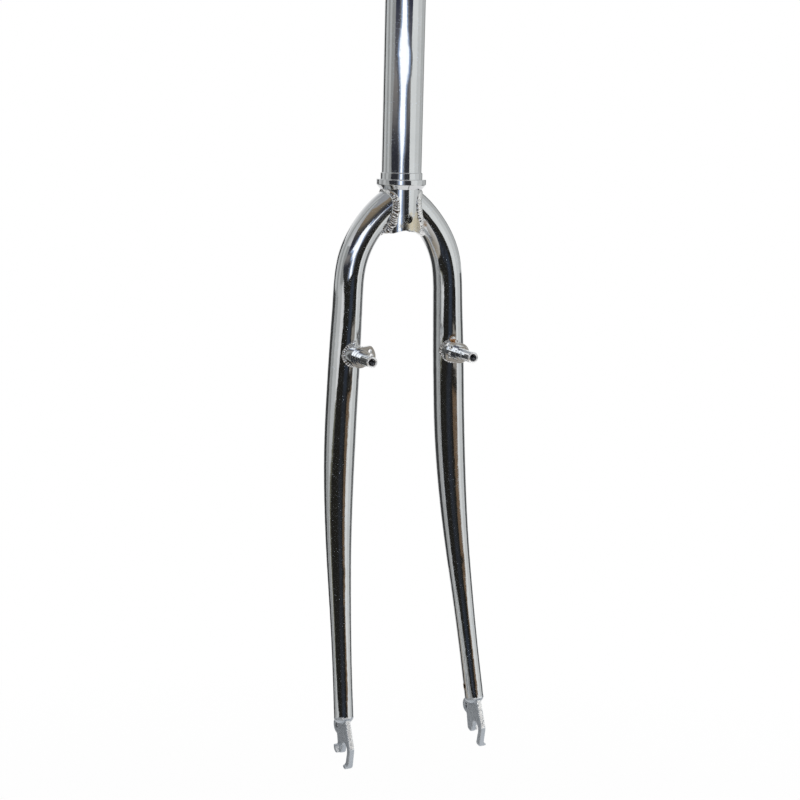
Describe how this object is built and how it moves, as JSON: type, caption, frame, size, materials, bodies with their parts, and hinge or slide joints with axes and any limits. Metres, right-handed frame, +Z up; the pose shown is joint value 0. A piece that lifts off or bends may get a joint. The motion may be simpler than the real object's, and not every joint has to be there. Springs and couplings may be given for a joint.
{
  "type": "rigid bicycle fork",
  "caption": "Chromed steel bicycle fork with a plain steerer, unicrown blades that bend and taper to slotted fork ends, and cantilever brake posts.",
  "frame": {"origin": "on the steerer's axis, in the plane of the crown race seat's flange", "axes": "+Z up along the steerer, -Y forward, +X to the rider's left"},
  "size_m": [0.1198, 0.0725, 0.6775],
  "materials": {
    "chrome_tube": "polished chrome plating",
    "satin_plate": "dull chrome plating over forged steel",
    "weld": "rippled and plated weld metal"
  },
  "bodies": {
    "root": {"steerer_tube": "chrome_tube", "crown_race_seat": "chrome_tube", "left_blade": "chrome_tube", "right_blade": "chrome_tube", "left_dropout": "satin_plate", "right_dropout": "satin_plate", "left_dropout_weld": "weld", "right_dropout_weld": "weld", "left_brake_boss": "chrome_tube", "right_brake_boss": "chrome_tube", "left_spring_plate": "chrome_tube", "right_spring_plate": "chrome_tube", "left_crown_weld": "weld", "right_crown_weld": "weld", "left_boss_weld": "weld", "right_boss_weld": "weld"}
  },
  "joints": []
}
